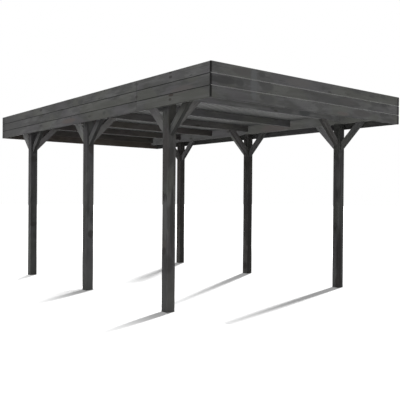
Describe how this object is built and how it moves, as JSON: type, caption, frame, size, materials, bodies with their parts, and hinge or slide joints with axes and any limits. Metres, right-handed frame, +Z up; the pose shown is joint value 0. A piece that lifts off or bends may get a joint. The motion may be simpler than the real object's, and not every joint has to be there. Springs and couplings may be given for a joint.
{
  "type": "carport",
  "caption": "Open flat-roofed timber carport on square posts with diagonal knee braces, rafters, ribbed roof sheets and a deep board fascia all round.",
  "frame": {"origin": "on the ground under the middle of the roof", "axes": "+Z up, +Y along the parking bay from the entrance to the rear, +X across it"},
  "size_m": [3.034, 5.26, 2.446],
  "materials": {
    "post_timber": "planed softwood, slate grey stain, grain and knots showing",
    "beam_timber": "planed softwood, slate grey stain",
    "brace_timber": "planed softwood, slate grey stain",
    "fascia_timber": "planed boards, slate grey stain, grooved joints",
    "roof_sheet": "light grey ribbed sheet, matt"
  },
  "bodies": {
    "root": {"brace_front_left_backward": "brace_timber", "brace_front_left_forward": "brace_timber", "brace_front_left_inward": "brace_timber", "brace_front_right_backward": "brace_timber", "brace_front_right_forward": "brace_timber", "brace_front_right_inward": "brace_timber", "brace_middle_left_backward": "brace_timber", "brace_middle_left_forward": "brace_timber", "brace_middle_left_inward": "brace_timber", "brace_middle_right_backward": "brace_timber", "brace_middle_right_forward": "brace_timber", "brace_middle_right_inward": "brace_timber", "brace_rear_left_backward": "brace_timber", "brace_rear_left_forward": "brace_timber", "brace_rear_left_inward": "brace_timber", "brace_rear_right_backward": "brace_timber", "brace_rear_right_forward": "brace_timber", "brace_rear_right_inward": "brace_timber", "fascia_front": "fascia_timber", "fascia_left": "fascia_timber", "fascia_rear": "fascia_timber", "fascia_right": "fascia_timber", "fascia_spacers_left": "beam_timber", "fascia_spacers_right": "beam_timber", "post_front_left": "post_timber", "post_front_right": "post_timber", "post_middle_left": "post_timber", "post_middle_right": "post_timber", "post_rear_left": "post_timber", "post_rear_right": "post_timber", "purlin_left": "beam_timber", "purlin_right": "beam_timber", "rafter_1": "beam_timber", "rafter_2": "beam_timber", "rafter_3": "beam_timber", "rafter_4": "beam_timber", "rafter_5": "beam_timber", "rafter_6": "beam_timber", "rafter_7": "beam_timber", "roof_sheet_left": "roof_sheet", "roof_sheet_middle": "roof_sheet", "roof_sheet_right": "roof_sheet"}
  },
  "joints": []
}
